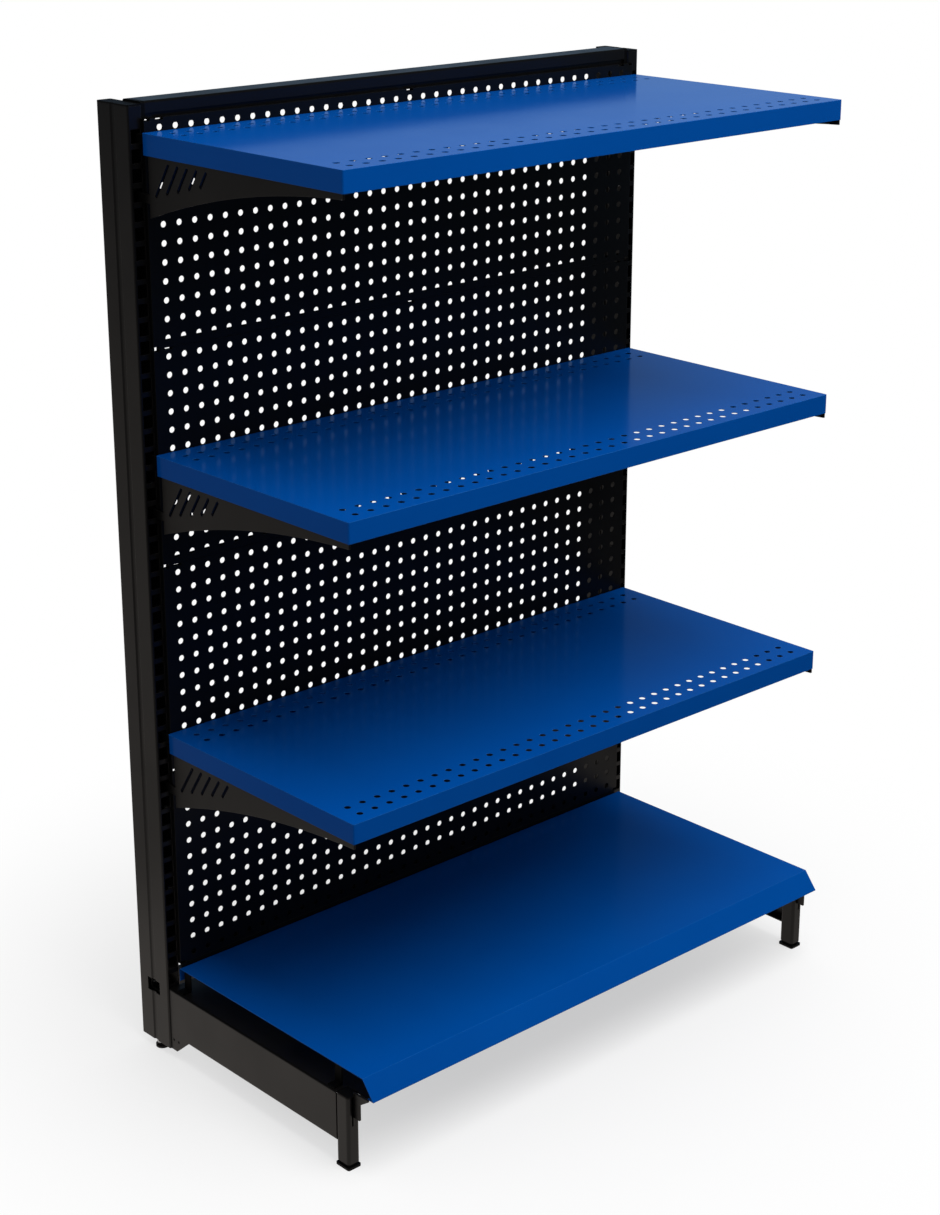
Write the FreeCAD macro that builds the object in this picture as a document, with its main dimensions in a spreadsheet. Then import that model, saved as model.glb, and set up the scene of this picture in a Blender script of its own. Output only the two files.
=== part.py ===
import FreeCAD
import Part
import Sketcher
import math
import os
import re

# A free-standing shelving unit of folded steel sheet: two slotted uprights with perforated panels between
# them, three pan shelves on hooked brackets, and a base shelf on two channel beams with front legs.
# X runs along the shelves, the goods side faces -Y, Z is up and zero is the floor.
# The unit's box is centred on X and Y. Every piece is drawn from the panels' front plane.

doc = FreeCAD.newDocument("ShelvingUnit")
sheet = doc.addObject("Spreadsheet::Sheet", "Sizes")

PANEL_COUNT = 4

SIZES = {
    # bay and uprights
    "bay_width": 914.0,
    "upright_width": 22.0,
    "upright_depth": 69.0,
    "upright_wall": 2.0,
    "upright_bend": 2.5,
    "upright_lift": 13.0,
    "upright_over": 16.0,
    "flute_width": 10.5,
    "flute_depth": 1.6,
    "flute_slope": 2.0,
    "side_line": 34.5,
    "cap_plate": 2.0,
    "cap_plug": 12.0,
    "fit_clear": 0.3,
    # the uprights' slots
    "slot_width": 15.0,
    "slot_height": 18.0,
    "slot_pitch": 25.0,
    "slot_start": 26.0,
    "top_slot_drop": 31.5,
    # panels
    "panel_base": 146.0,
    "panel_height": 300.0,
    "panel_depth": 7.5,
    "panel_sheet": 1.0,
    "panel_lap": 2.8,
    "panel_lip": 9.5,
    "panel_gap": 0.4,
    "hole_pitch": 25.0,
    "hole_dia": 8.5,
    "hole_edge": 12.5,
    "hole_margin": 20.0,
    "notch_width": 12.0,
    "notch_deep": 3.0,
    "relief_width": 8.3,
    "relief_deep": 3.0,
    "lug_reach": 22.0,
    "lug_foot": 6.0,
    "lug_tall": 22.0,
    "lug_high": 60.0,
    "lug_low": 185.0,
    "lug_hole_set": 12.0,
    # screws for the panels and the spreader
    "screw_dia": 4.0,
    "screw_head_dia": 8.0,
    "screw_head": 2.5,
    "screw_long": 7.0,
    "tie_dia": 6.0,
    "tie_head_dia": 12.0,
    "tie_head": 4.0,
    "tie_bite": 5.0,
    # top rail and its end connectors
    "rail_set": 2.0,
    "rail_lap": 3.0,
    "rail_height": 23.6,
    "rail_face": 15.6,
    "rail_step": 3.0,
    "rail_depth": 40.0,
    "rail_sheet": 1.5,
    "rail_bend": 3.0,
    "rail_end": 6.0,
    "plug_long": 18.0,
    "peg_dia": 6.0,
    "peg_set": 10.0,
    # bottom spreader
    "spreader_wide": 28.0,
    "spreader_tall": 19.0,
    "spreader_wall": 1.5,
    "spreader_bend": 2.5,
    "spreader_clear": 0.5,
    "spreader_height": 101.5,
    "spreader_stop": 3.0,
    # ledge under the panels
    "ledge_set": 1.0,
    "ledge_deep": 22.0,
    "ledge_drop": 26.0,
    "ledge_rise": 20.0,
    "ledge_sheet": 1.5,
    "ledge_bend": 2.5,
    # pan shelves
    "hook_seat": 14.0,
    "middle_slots": 17,
    "lower_slots": 33,
    "shelf_gap": 1.0,
    "shelf_depth": 398.0,
    "shelf_edge": 28.0,
    "shelf_sheet": 0.8,
    "shelf_lip": 10.0,
    "shelf_bend": 2.0,
    "shelf_clear": 0.2,
    "shelf_notch": 6.0,
    "row_rear": 26.5,
    "row_front": 22.0,
    "row_step": 24.5,
    "row_dia": 9.0,
    "rib_width": 44.0,
    "rib_foot": 11.0,
    "rib_deep": 15.0,
    "rib_slope": 4.0,
    "rib_sheet": 1.0,
    "rib_short": 14.0,
    # brackets and their hooks
    "bracket_sheet": 3.0,
    "bracket_back": 11.0,
    "bracket_drop": 108.0,
    "bracket_nose": 35.0,
    "bracket_bow": 14.2,
    "nose_gap": 0.6,
    "hook_clear": 0.3,
    "hook_neck": 12.0,
    "hook_tail": 5.0,
    "hook_thick": 4.0,
    "hook_slots": 3,
    "slit_width": 5.0,
    "slit_first": 25.0,
    "slit_low": 79.0,
    "slit_step": 23.7,
    "slit_climb": 5.75,
    "slit_top": 34.0,
    "slit_run": 30.5,
    "slit_rise": 45.6,
    # base shelf
    "base_reach": 427.5,
    "base_flat": 406.0,
    "base_top": 141.0,
    "base_drop": 27.0,
    "base_sheet": 1.2,
    "base_return": 12.0,
    "base_rear": 20.0,
    "base_bend": 2.5,
    "base_gap": 1.0,
    "base_short": 5.0,
    # beams and legs
    "beam_out": 8.5,
    "beam_width": 20.0,
    "beam_deck": 46.0,
    "beam_shoe": 15.0,
    "beam_low": 36.0,
    "beam_tall": 74.0,
    "beam_wall": 2.0,
    "beam_bend": 3.0,
    "beam_reach": 366.0,
    "ear_out": 23.0,
    "weld_lap": 0.6,
    "tab_flat": 13.5,
    "tab_long": 40.5,
    "tab_lap": 6.0,
    "tab_hole": 4.0,
    "tab_hole_up": 17.0,
    "tab_hole_set": 7.0,
    "tab_hole_step": 11.0,
    "beam_hook_top": 92.0,
    "beam_hook_long": 45.0,
    "leg_depth": 25.0,
    "leg_wall": 1.5,
    "leg_bend": 4.5,
    "leg_lift": 7.5,
    "leg_plug": 12.0,
    "leg_plate": 2.0,
    "leg_slot_set": 11.1,
    "leg_slot_low": 65.0,
    "leg_slot_tall": 43.0,
    "leg_slot_free": 2.8,
    # plinth holders
    "holder_sheet": 3.0,
    "holder_low": 77.5,
    "holder_wide": 12.0,
    "holder_nose": 29.3,
    "holder_rise": 6.0,
    "holder_root": 5.0,
    "holder_face": 3.0,
    "holder_throat": 9.0,
    "holder_neck": 30.0,
    # base-shelf supports
    "prop_sheet": 2.0,
    "prop_long": 14.0,
    "prop_foot": 15.0,
    "prop_head": 13.0,
    "prop_bend": 2.5,
    "prop_front": 353.0,
    "prop_rear": 16.0,
    # levelling feet
    "stud_dia": 10.0,
    "stud_long": 33.0,
    "insert_tall": 20.0,
    "pad_floor": 3.0,
    "pad_dia": 20.0,
    "pad_tall": 8.0,
    "pad_neck_dia": 16.0,
    "pad_rim": 4.0,
    "pad_over": 1.2,
    "pad_plate": 3.5,
    "pad_waist": 2.0,
    "nut_across": 16.0,
}

for row, (alias, size) in enumerate(SIZES.items(), 1):
    sheet.set(f"A{row}", alias)
    sheet.set(f"B{row}", str(size))
    sheet.setAlias(f"B{row}", alias)
doc.recompute()


def cells(text):
    """Writes each size's name in an expression as its cell in the sheet."""
    return re.sub(r"[a-z_]+", lambda word: "Sizes." + word[0] if word[0] in SIZES else word[0], text)


def value(text):
    """What an expression comes to with the sheet's present numbers."""
    return float(sheet.evalExpression(cells(text)))


# Places that several pieces share, as expressions of the sheet's sizes.
AXIS = "bay_width / 2"
INNER = "(bay_width - upright_width) / 2"
OUTER = "(bay_width + upright_width) / 2"
FACE_Y = "(base_reach - panel_depth - upright_depth - tie_head) / 2"
POST_BACK = "(panel_depth + upright_depth)"
PANEL_TOP = f"(panel_base + panel_height * {PANEL_COUNT})"
POST_TOP = f"({PANEL_TOP} + upright_over)"
TOP_SLOT = f"({PANEL_TOP} - top_slot_drop)"
HOOK_IN = f"({AXIS} - slot_width / 2 + hook_clear)"
PANEL_HALF = f"({INNER} + panel_lap)"
HOLE_REACH = f"floor(({PANEL_HALF} - hole_margin) / hole_pitch)"
SHELF_IN = f"({HOOK_IN} + bracket_sheet + shelf_clear)"
SHELF_HALF = f"({SHELF_IN} + shelf_sheet)"
SHELF_FRONT = "(shelf_gap + shelf_depth)"
BEAM_OUT = f"({AXIS} + beam_out)"
BEAM_IN = f"({AXIS} + beam_out - beam_width)"
BEAM_TOP = "(beam_low + beam_tall)"
LEG_FRONT = "(beam_reach + leg_depth)"

TOP_LEVEL = f"({TOP_SLOT} + hook_seat)"
LOWER_LEVELS = {"middle": "-middle_slots * slot_pitch", "lower": "-lower_slots * slot_pitch"}

nodes = {}


def new_body(name, level="0"):
    """A body whose own zero is the panels' front plane at the given height."""
    body = doc.addObject("PartDesign::Body", name)
    body.setExpression("Placement.Base.y", cells(FACE_Y))
    body.setExpression("Placement.Base.z", cells(level))
    return body


def new_sketch(body, role, lift):
    """A sketch on one of the body's origin planes, moved along that plane's normal."""
    made = body.newObject("Sketcher::SketchObject", "Outline")
    plane = [item for item in body.Origin.OriginFeatures if item.Role == role][0]
    made.AttachmentSupport = [(plane, "")]
    made.MapMode = "FlatFace"
    made.setExpression("AttachmentOffset.Base.z", cells(lift))
    return made


def hold(sketch, kind, place, text):
    """One dimension of a sketch, bound to the sheet."""
    index = sketch.addConstraint(Sketcher.Constraint(kind, *place, value(text)))
    sketch.setExpression(f"Constraints[{index}]", cells(text))


def arc_between(start, end, radius, turn):
    """The shorter arc between two points that turns left (1) or right (-1)."""
    chord = end - start
    side = FreeCAD.Vector(-chord.y, chord.x, 0) / chord.Length
    rise = math.sqrt(max(radius ** 2 - (chord.Length / 2) ** 2, 0))
    centre = (start + end) / 2 + side * rise * turn
    first, last = (start, end) if turn > 0 else (end, start)
    angles = [math.atan2(point.y - centre.y, point.x - centre.x) for point in (first, last)]
    if angles[1] < angles[0]:
        angles[1] += 2 * math.pi
    return Part.ArcOfCircle(Part.Circle(centre, FreeCAD.Vector(0, 0, 1), radius), *angles)


def draw_loop(sketch, loop):
    """A closed outline. Each entry is the end of one edge: a line, or an arc with its radius and turn."""
    points = [FreeCAD.Vector(value(entry[0]), value(entry[1]), 0) for entry in loop]
    edges = []
    for index, entry in enumerate(loop):
        start, end = points[index - 1], points[index]
        if len(entry) == 2:
            edges.append((sketch.addGeometry(Part.LineSegment(start, end), False), 1, 2))
        else:
            arc = arc_between(start, end, value(entry[2]), entry[3])
            ends = (1, 2) if entry[3] > 0 else (2, 1)
            edges.append((sketch.addGeometry(arc, False), *ends))
    for index, entry in enumerate(loop):
        edge, first, last = edges[index]
        after, after_first, after_last = edges[(index + 1) % len(loop)]
        sketch.addConstraint(Sketcher.Constraint("Coincident", edge, last, after, after_first))
        hold(sketch, "DistanceX", (-1, 1, edge, last), entry[0])
        hold(sketch, "DistanceY", (-1, 1, edge, last), entry[1])
        if len(entry) > 2:
            hold(sketch, "Radius", (edge,), entry[2])


def draw_circle(sketch, across, up, radius):
    centre = FreeCAD.Vector(value(across), value(up), 0)
    circle = Part.Circle(centre, FreeCAD.Vector(0, 0, 1), value(radius))
    edge = sketch.addGeometry(circle, False)
    hold(sketch, "DistanceX", (-1, 1, edge, 3), across)
    hold(sketch, "DistanceY", (-1, 1, edge, 3), up)
    hold(sketch, "Radius", (edge,), radius)


def outline(body, role, lift, loops, circles=()):
    """A sketch of closed outlines and round holes."""
    made = new_sketch(body, role, lift)
    for loop in loops:
        draw_loop(made, loop)
    for circle in circles:
        draw_circle(made, *circle)
    return made


def pad(body, sketch, length, back=False):
    made = body.newObject("PartDesign::Pad", "Pad")
    made.Profile = sketch
    made.setExpression("Length", cells(length))
    made.Reversed = back
    sketch.Visibility = False
    doc.recompute()
    return made


def pocket(body, sketch, length, back=False):
    """A cut along the sketch's normal, which must take material away."""
    before = body.Shape.Volume
    made = body.newObject("PartDesign::Pocket", "Pocket")
    made.Profile = sketch
    made.setExpression("Length", cells(length))
    made.Reversed = back
    doc.recompute()
    if not body.Shape.Volume < before:
        raise RuntimeError(f"{body.Label}: a pocket cuts nothing")
    return made


def repeat(body, feature, first, second=None):
    """Copies a cut along one or two axes of its sketch: axis, count and step, and whether it runs back."""
    made = body.newObject("PartDesign::LinearPattern", "Row")
    made.Originals = [feature]
    sketch = feature.Profile[0]
    for ending, run in (("", first), ("2", second)):
        if run is None:
            continue
        axis, count, step, back = run
        setattr(made, "Direction" + ending, (sketch, [axis]))
        setattr(made, "Reversed" + ending, back)
        made.setExpression("Occurrences" + ending, cells(count))
        made.setExpression("Length" + ending, cells(f"({count} - 1) * ({step})"))
    body.Tip = made
    doc.recompute()
    return made


def box(left, low, right, high):
    """A rectangle's outline."""
    return [(left, low), (right, low), (right, high), (left, high)]


def rounded(left, low, right, high, bend):
    """A rectangle's outline with rounded corners."""
    return [
        (f"{left} + {bend}", low, bend, 1),
        (f"{right} - {bend}", low),
        (right, f"{low} + {bend}", bend, 1),
        (right, f"{high} - {bend}"),
        (f"{right} - {bend}", high, bend, 1),
        (f"{left} + {bend}", high),
        (left, f"{high} - {bend}", bend, 1),
        (left, f"{low} + {bend}"),
    ]


def mirrored(source, name):
    """The same piece on the left side."""
    made = doc.addObject("Part::Mirroring", name)
    made.Source = source
    made.Normal = FreeCAD.Vector(1, 0, 0)
    return made


def placed(source, name, shift):
    """The same piece again, higher or lower."""
    made = doc.addObject("Part::Compound", name)
    made.Links = [source]
    made.setExpression("Placement.Base.z", cells(shift))
    return made


def grouped(name, pieces):
    """Like pieces that share one node, each its own solid."""
    made = doc.addObject("Part::Compound", name)
    made.Links = pieces
    return made


def keep(piece, name):
    """Names a finished piece as a node."""
    piece.Label = name
    nodes[name] = piece


def keep_pair(piece, name):
    """A right-hand piece and its left-hand mirror image."""
    keep(piece, f"{name}_right")
    keep(mirrored(piece, f"{name}_left"), f"{name}_left")


def keep_both(pieces, name):
    """Small pieces and their mirror images as one node."""
    both = list(pieces)
    for piece in pieces:
        both.append(mirrored(piece, f"{piece.Name}_left"))
    keep(grouped(name, both), name)


# Uprights: rolled box section with a flute down each side, closed but for the slots.
def upright_section(inset):
    """The section's outline, moved inwards by a wall or a wall and a clearance."""
    left = f"{INNER} + {inset}"
    right = f"{OUTER} - {inset}"
    front = f"panel_depth + {inset}"
    back = f"{POST_BACK} - {inset}"
    bend = "upright_bend" if inset == "0" else "(upright_bend - upright_wall)"
    near = "panel_depth + side_line - flute_width / 2"
    far = "panel_depth + side_line + flute_width / 2"
    return [
        (f"{left} + {bend}", front, bend, 1),
        (f"{right} - {bend}", front),
        (right, f"{front} + {bend}", bend, 1),
        (right, near),
        (f"{right} - flute_depth", f"{near} + flute_slope"),
        (f"{right} - flute_depth", f"{far} - flute_slope"),
        (right, far),
        (right, f"{back} - {bend}"),
        (f"{right} - {bend}", back, bend, 1),
        (f"{left} + {bend}", back),
        (left, f"{back} - {bend}", bend, 1),
        (left, far),
        (f"{left} + flute_depth", f"{far} - flute_slope"),
        (f"{left} + flute_depth", f"{near} + flute_slope"),
        (left, near),
        (left, f"{front} + {bend}"),
    ]


upright = new_body("Upright")
section = outline(upright, "XY_Plane", "upright_lift", [upright_section("0"), upright_section("upright_wall")])
pad(upright, section, f"{POST_TOP} - upright_lift")
slot = outline(upright, "XZ_Plane", "-panel_depth", [box(
    f"{AXIS} - slot_width / 2", TOP_SLOT, f"{AXIS} + slot_width / 2", f"{TOP_SLOT} + slot_height")])
slot_cut = pocket(upright, slot, "upright_wall * 2")
SLOT_COUNT = f"(floor(({TOP_SLOT} - upright_lift - slot_start) / slot_pitch) + 1)"
repeat(upright, slot_cut, ("V_Axis", SLOT_COUNT, "slot_pitch", True))
window = outline(upright, "YZ_Plane", f"{OUTER}", [box(
    "panel_depth + side_line - spreader_wide / 2 - spreader_clear",
    "spreader_height - spreader_tall / 2 - spreader_clear",
    "panel_depth + side_line + spreader_wide / 2 + spreader_clear",
    "spreader_height + spreader_tall / 2 + spreader_clear")])
pocket(upright, window, "upright_width")
tie_hole = outline(upright, "XZ_Plane", f"-{POST_BACK} + upright_wall * 2", [], [
    (AXIS, "spreader_height", "tie_dia / 2 + fit_clear")])
pocket(upright, tie_hole, "upright_wall * 2")
lug_holes = outline(upright, "YZ_Plane", f"{INNER} + upright_wall * 2", [], [
    ("panel_depth + lug_hole_set", "panel_base + panel_height - lug_high", "screw_dia / 2 + fit_clear"),
    ("panel_depth + lug_hole_set", "panel_base + panel_height - lug_low", "screw_dia / 2 + fit_clear")])
lug_cut = pocket(upright, lug_holes, "upright_wall * 2")
repeat(upright, lug_cut, ("V_Axis", str(PANEL_COUNT), "panel_height", False))
PEG_HIGH = f"({PANEL_TOP} - rail_lap + rail_height / 2)"
peg_holes = outline(upright, "YZ_Plane", f"{INNER} + upright_wall * 2", [], [
    ("panel_depth + rail_set + peg_set", PEG_HIGH, "peg_dia / 2 + fit_clear"),
    ("panel_depth + rail_set + rail_depth - peg_set", PEG_HIGH, "peg_dia / 2 + fit_clear")])
pocket(upright, peg_holes, "upright_wall * 2")
keep_pair(upright, "upright")

# Caps: a thin plate on the upright's end with a plug inside it.
cap = new_body("UprightCap", POST_TOP)
pad(cap, outline(cap, "XY_Plane", "0", [upright_section("0")]), "cap_plate")
pad(cap, outline(cap, "XY_Plane", "0", [upright_section("(upright_wall + fit_clear)")]), "cap_plug", True)
keep_pair(cap, "upright_cap")

# Top rail: a channel open below, with rounded top edges and a front flange stepped back behind the panel.
RAIL_NEAR = "panel_depth + rail_set"
RAIL_FAR = "panel_depth + rail_set + rail_depth"
RAIL_LOW = f"({PANEL_TOP} - rail_lap)"
RAIL_HIGH = f"({PANEL_TOP} - rail_lap + rail_height)"
RAIL_HALF = f"({INNER} - rail_end)"
rail = new_body("TopRail")
RAIL_STEP = f"({RAIL_HIGH} - rail_face)"
rail_section = [
    (RAIL_NEAR, RAIL_STEP),
    (f"{RAIL_NEAR} + rail_step", RAIL_STEP),
    (f"{RAIL_NEAR} + rail_step", RAIL_LOW),
    (f"{RAIL_NEAR} + rail_step + rail_sheet", RAIL_LOW),
    (f"{RAIL_NEAR} + rail_step + rail_sheet", f"{RAIL_STEP} + rail_sheet"),
    (f"{RAIL_NEAR} + rail_sheet", f"{RAIL_STEP} + rail_sheet"),
    (f"{RAIL_NEAR} + rail_sheet", f"{RAIL_HIGH} - rail_bend"),
    (f"{RAIL_NEAR} + rail_bend", f"{RAIL_HIGH} - rail_sheet", "rail_bend - rail_sheet", -1),
    (f"{RAIL_FAR} - rail_bend", f"{RAIL_HIGH} - rail_sheet"),
    (f"{RAIL_FAR} - rail_sheet", f"{RAIL_HIGH} - rail_bend", "rail_bend - rail_sheet", -1),
    (f"{RAIL_FAR} - rail_sheet", RAIL_LOW),
    (RAIL_FAR, RAIL_LOW),
    (RAIL_FAR, f"{RAIL_HIGH} - rail_bend"),
    (f"{RAIL_FAR} - rail_bend", RAIL_HIGH, "rail_bend", 1),
    (f"{RAIL_NEAR} + rail_bend", RAIL_HIGH),
    (RAIL_NEAR, f"{RAIL_HIGH} - rail_bend", "rail_bend", 1),
]
pad(rail, outline(rail, "YZ_Plane", f"-{RAIL_HALF}", [rail_section]), f"{RAIL_HALF} * 2")
keep(rail, "top_rail")

# Rail connectors: a block between rail and upright, a plug in the rail and two pegs in the upright.
connector = new_body("RailConnector")
pad(connector, outline(connector, "YZ_Plane", RAIL_HALF, [rounded(
    RAIL_NEAR, RAIL_LOW, RAIL_FAR, RAIL_HIGH, "rail_bend")]), "rail_end")
pad(connector, outline(connector, "YZ_Plane", RAIL_HALF, [rounded(
    f"{RAIL_NEAR} + rail_step + rail_sheet + fit_clear", RAIL_LOW, f"{RAIL_FAR} - rail_sheet - fit_clear",
    f"{RAIL_HIGH} - rail_sheet", "rail_bend")]), "plug_long", True)
pad(connector, outline(connector, "YZ_Plane", INNER, [], [
    (f"{RAIL_NEAR} + peg_set", PEG_HIGH, "peg_dia / 2"),
    (f"{RAIL_FAR} - peg_set", PEG_HIGH, "peg_dia / 2")]), "upright_wall")
keep_both([connector], "rail_connectors")

# Bottom spreader: a rectangular tube through the windows near the uprights' feet.
SPREADER_MID = "panel_depth + side_line"
SPREADER_LOW = "(spreader_height - spreader_tall / 2 - spreader_clear)"
SPREADER_HALF = f"({OUTER} - upright_wall - spreader_stop)"
spreader = new_body("Spreader")
spreader_tube = outline(spreader, "YZ_Plane", f"-{SPREADER_HALF}", [
    rounded(f"{SPREADER_MID} - spreader_wide / 2", SPREADER_LOW, f"{SPREADER_MID} + spreader_wide / 2",
            f"{SPREADER_LOW} + spreader_tall", "spreader_bend"),
    rounded(f"{SPREADER_MID} - spreader_wide / 2 + spreader_wall", f"{SPREADER_LOW} + spreader_wall",
            f"{SPREADER_MID} + spreader_wide / 2 - spreader_wall",
            f"{SPREADER_LOW} + spreader_tall - spreader_wall", "(spreader_bend - spreader_wall)")])
pad(spreader, spreader_tube, f"{SPREADER_HALF} * 2")
SPREADER_BACK = f"({SPREADER_MID} + spreader_wide / 2)"
spreader_holes = outline(spreader, "XZ_Plane", f"-{SPREADER_BACK} + spreader_wall * 2", [], [
    (AXIS, "spreader_height", "tie_dia / 2 + fit_clear"),
    (f"-{AXIS}", "spreader_height", "tie_dia / 2 + fit_clear")])
pocket(spreader, spreader_holes, "spreader_wall * 2")
keep(spreader, "bottom_spreader")


def screw(body, role, lift, across, up, dia, length, head_dia, head, shank_back):
    """A headed screw: the shank goes one way from its seat and the head the other way."""
    pad(body, outline(body, role, lift, [], [(across, up, f"{dia} / 2")]), length, shank_back)
    pad(body, outline(body, role, lift, [], [(across, up, f"{head_dia} / 2")]), head, not shank_back)


# Tie screws: from behind through each upright into the spreader.
tie = new_body("TieScrew")
screw(tie, "XZ_Plane", f"-{POST_BACK}", AXIS, "spreader_height", "tie_dia",
      f"{POST_BACK} - {SPREADER_BACK} + tie_bite", "tie_head_dia", "tie_head", False)
keep_both([tie], "spreader_screws")


# Back panels: perforated trays with folded edges and return lips.
def back_panel():
    tall = "(panel_height - panel_gap)"
    panel = new_body("BackPanel", "panel_base")
    whole = box(f"-{PANEL_HALF}", "0", PANEL_HALF, tall)

    def inside(inset):
        return box(f"-{PANEL_HALF} + {inset}", inset, f"{PANEL_HALF} - {inset}", f"{tall} - {inset}")

    pad(panel, outline(panel, "XZ_Plane", "0", [whole]), "panel_sheet", True)
    pad(panel, outline(panel, "XZ_Plane", "0", [whole, inside("panel_sheet")]), "panel_depth", True)
    lips = outline(panel, "XZ_Plane", "-panel_depth + panel_sheet", [whole, inside("panel_lip")])
    pad(panel, lips, "panel_sheet", True)
    reliefs = []
    for low in ("0", f"{tall} - relief_deep"):
        near = f"{PANEL_HALF} - panel_sheet - relief_width"
        far = f"{PANEL_HALF} - panel_sheet"
        reliefs.append(box(near, low, far, f"{low} + relief_deep"))
        reliefs.append(box(f"-({far})", low, f"-({near})", f"{low} + relief_deep"))
    pocket(panel, outline(panel, "XZ_Plane", "0", reliefs), "panel_depth")
    notches = []
    for middle in ("0", f"{HOLE_REACH} * hole_pitch", f"-{HOLE_REACH} * hole_pitch"):
        notches.append(box(f"{middle} - notch_width / 2", f"{tall} - notch_deep",
                           f"{middle} + notch_width / 2", tall))
    pocket(panel, outline(panel, "XZ_Plane", "0", notches), "panel_depth")
    first = outline(panel, "XZ_Plane", "0", [], [(f"-{HOLE_REACH} * hole_pitch", "hole_edge", "hole_dia / 2")])
    hole = pocket(panel, first, "panel_sheet * 2")
    rows = "(floor((panel_height - hole_edge) / hole_pitch) + 1)"
    columns = f"({HOLE_REACH} * 2 + 1)"
    repeat(panel, hole, ("H_Axis", columns, "hole_pitch", False), ("V_Axis", rows, "hole_pitch", False))
    return panel


lowest_panel = back_panel()
keep(lowest_panel, "back_panel_1")
for index in range(1, PANEL_COUNT):
    copy = placed(lowest_panel, f"BackPanel{index}", f"panel_height * {index}")
    keep(copy, f"back_panel_{index + 1}")

# Panel lugs: small angles welded to the panels' side lips, flat against the uprights' inner sides.
lug = new_body("PanelLug", "panel_base")
lug_section = [
    (f"{INNER} - lug_foot", "panel_depth"),
    (INNER, "panel_depth"),
    (INNER, "panel_depth + lug_reach"),
    (f"{INNER} - panel_sheet", "panel_depth + lug_reach"),
    (f"{INNER} - panel_sheet", "panel_depth + panel_sheet"),
    (f"{INNER} - lug_foot", "panel_depth + panel_sheet"),
]
pad(lug, outline(lug, "XY_Plane", "-lug_tall / 2", [lug_section]), "lug_tall")
lug_mark = ("panel_depth + lug_hole_set", "0", "screw_dia / 2 + fit_clear")
pocket(lug, outline(lug, "YZ_Plane", INNER, [], [lug_mark]), "panel_sheet * 2")

# Panel screws: through each lug into the upright's inner side.
panel_lugs = []
panel_screws = []
panel_screw = new_body("PanelScrew", "panel_base")
screw(panel_screw, "YZ_Plane", f"{INNER} - panel_sheet", "panel_depth + lug_hole_set", "0", "screw_dia",
      "screw_long", "screw_head_dia", "screw_head", False)
for index in range(PANEL_COUNT):
    for drop in ("lug_high", "lug_low"):
        shift = f"panel_height * {index + 1} - {drop}"
        panel_lugs.append(placed(lug, f"PanelLug{index}_{drop}", shift))
        panel_screws.append(placed(panel_screw, f"PanelScrew{index}_{drop}", shift))
keep_both(panel_lugs, "panel_lugs")
keep_both(panel_screws, "panel_screws")


# Panel ledge: a Z-section between the uprights. The lowest panel stands on its web, the front flange closes
# the gap above the base shelf and the rear flange backs the panel's foot.
LEDGE_FAR = "(ledge_set + ledge_deep)"
LEDGE_LOW = "(panel_base - ledge_drop)"
LEDGE_HIGH = "(panel_base + ledge_rise)"
LEDGE_TURN = "(panel_base - ledge_sheet + ledge_bend)"
ledge = new_body("PanelLedge")
ledge_section = [
    ("ledge_set", LEDGE_LOW),
    ("ledge_set + ledge_sheet", LEDGE_LOW),
    ("ledge_set + ledge_sheet", "panel_base - ledge_bend"),
    ("ledge_set + ledge_bend", "panel_base - ledge_sheet", "ledge_bend - ledge_sheet", -1),
    (f"{LEDGE_FAR} - ledge_bend", "panel_base - ledge_sheet"),
    (LEDGE_FAR, LEDGE_TURN, "ledge_bend", 1),
    (LEDGE_FAR, LEDGE_HIGH),
    (f"{LEDGE_FAR} - ledge_sheet", LEDGE_HIGH),
    (f"{LEDGE_FAR} - ledge_sheet", LEDGE_TURN),
    (f"{LEDGE_FAR} - ledge_bend", "panel_base", "ledge_bend - ledge_sheet", -1),
    ("ledge_set + ledge_bend", "panel_base"),
    ("ledge_set", "panel_base - ledge_bend", "ledge_bend", 1),
]
pad(ledge, outline(ledge, "YZ_Plane", f"-{INNER}", [ledge_section]), f"{INNER} * 2")
keep(ledge, "panel_ledge")


# Hooks: necks that lie in the slots, each with a tail behind the upright's front wall.
def hook_steps(seat, root):
    """The outline of one hook from its neck's top edge round to its lower edge."""
    wall_back = "panel_depth + upright_wall + hook_clear"
    return [
        (root, f"{seat} + hook_neck"),
        (f"{wall_back} + hook_thick", f"{seat} + hook_neck"),
        (f"{wall_back} + hook_thick", f"{seat} - hook_tail"),
        (wall_back, f"{seat} - hook_tail"),
        (wall_back, seat),
        (root, seat),
    ]


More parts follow.
